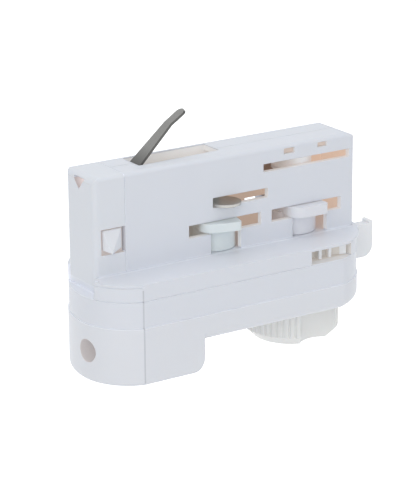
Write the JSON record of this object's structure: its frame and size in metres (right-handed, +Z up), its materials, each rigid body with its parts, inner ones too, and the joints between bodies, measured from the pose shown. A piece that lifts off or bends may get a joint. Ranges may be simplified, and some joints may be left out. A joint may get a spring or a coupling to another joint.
{
  "type": "track light adapter",
  "caption": "White plastic plug-in adapter for a lighting track: thin slotted body with lock wings, sprung earth leaf, wide flange, nose for the lamp stem and a ribbed selector knob.",
  "frame": {"origin": "on the plane of the flange that seats against the track, on the body's centre plane, near the middle of its length", "axes": "+Z up into the track, +X along the body towards the slider tab, -Y towards the side with the neutral slot"},
  "size_m": [0.0887, 0.0364, 0.065],
  "materials": {
    "white_plastic": "satin",
    "cream_plastic": "satin",
    "steel": "satin",
    "spring_steel": "satin",
    "brass": "satin"
  },
  "bodies": {
    "housing": {"end_block": "white_plastic", "front_shell": "white_plastic", "rear_shell": "white_plastic", "flange_plate": "white_plastic", "middle_housing": "white_plastic", "base_cover": "white_plastic", "stem_bush": "steel", "housing_screws": "steel", "terminal_block": "cream_plastic", "terminal_screws": "steel", "neutral_bar": "brass", "phase_bar": "brass", "earth_bar": "brass", "earth_pin": "steel", "catch_spring": "steel", "lock_spring": "steel"},
    "slide_lock": {"slider": "white_plastic"},
    "left_wing": {"left_lock": "white_plastic", "neutral_contact": "spring_steel"},
    "right_wing": {"right_lock": "white_plastic"},
    "selector": {"selector_shaft": "white_plastic", "phase_contact": "spring_steel", "selector_knob": "cream_plastic", "knob_screw": "steel"},
    "earth_leaf": {"earth_contact": "spring_steel"},
    "snap_catch": {"catch": "white_plastic"}
  },
  "joints": [
    {"name": "slider_push", "type": "slide", "parent": "housing", "child": "slide_lock", "axis": [1, 0, 0], "range_m": [-0.0047, 0], "stiffness_N_per_m": 200, "springref_m": 0.004, "deforming": ["lock_spring"]},
    {"name": "left_wing_turn", "type": "hinge", "parent": "housing", "child": "left_wing", "pos_m": [-0.0021, 0, 0], "axis": [0, 0, 1], "range_deg": [0, 90]},
    {"name": "right_wing_turn", "type": "hinge", "parent": "housing", "child": "right_wing", "pos_m": [0.0227, 0, 0], "axis": [0, 0, 1], "range_deg": [0, 90]},
    {"name": "selector_turn", "type": "hinge", "parent": "housing", "child": "selector", "pos_m": [0.0227, 0, 0], "axis": [0, 0, 1], "range_deg": [-90, 180]},
    {"name": "earth_fold", "type": "hinge", "parent": "housing", "child": "earth_leaf", "pos_m": [-0.0267, 0, 0.02185], "axis": [0, 1, 0], "range_deg": [0, 40], "stiffness_Nm_per_rad": 0.02, "springref_deg": -17.19},
    {"name": "catch_press", "type": "slide", "parent": "housing", "child": "snap_catch", "axis": [0, 1, 0], "range_m": [0, 0.0015], "stiffness_N_per_m": 400, "springref_m": -0.001, "deforming": ["catch_spring"]}
  ],
  "couplings": [
    {"joint": "left_wing_turn", "follows": "slider_push", "rad_per_m": -333.33},
    {"joint": "right_wing_turn", "follows": "slider_push", "rad_per_m": -333.33}
  ]
}
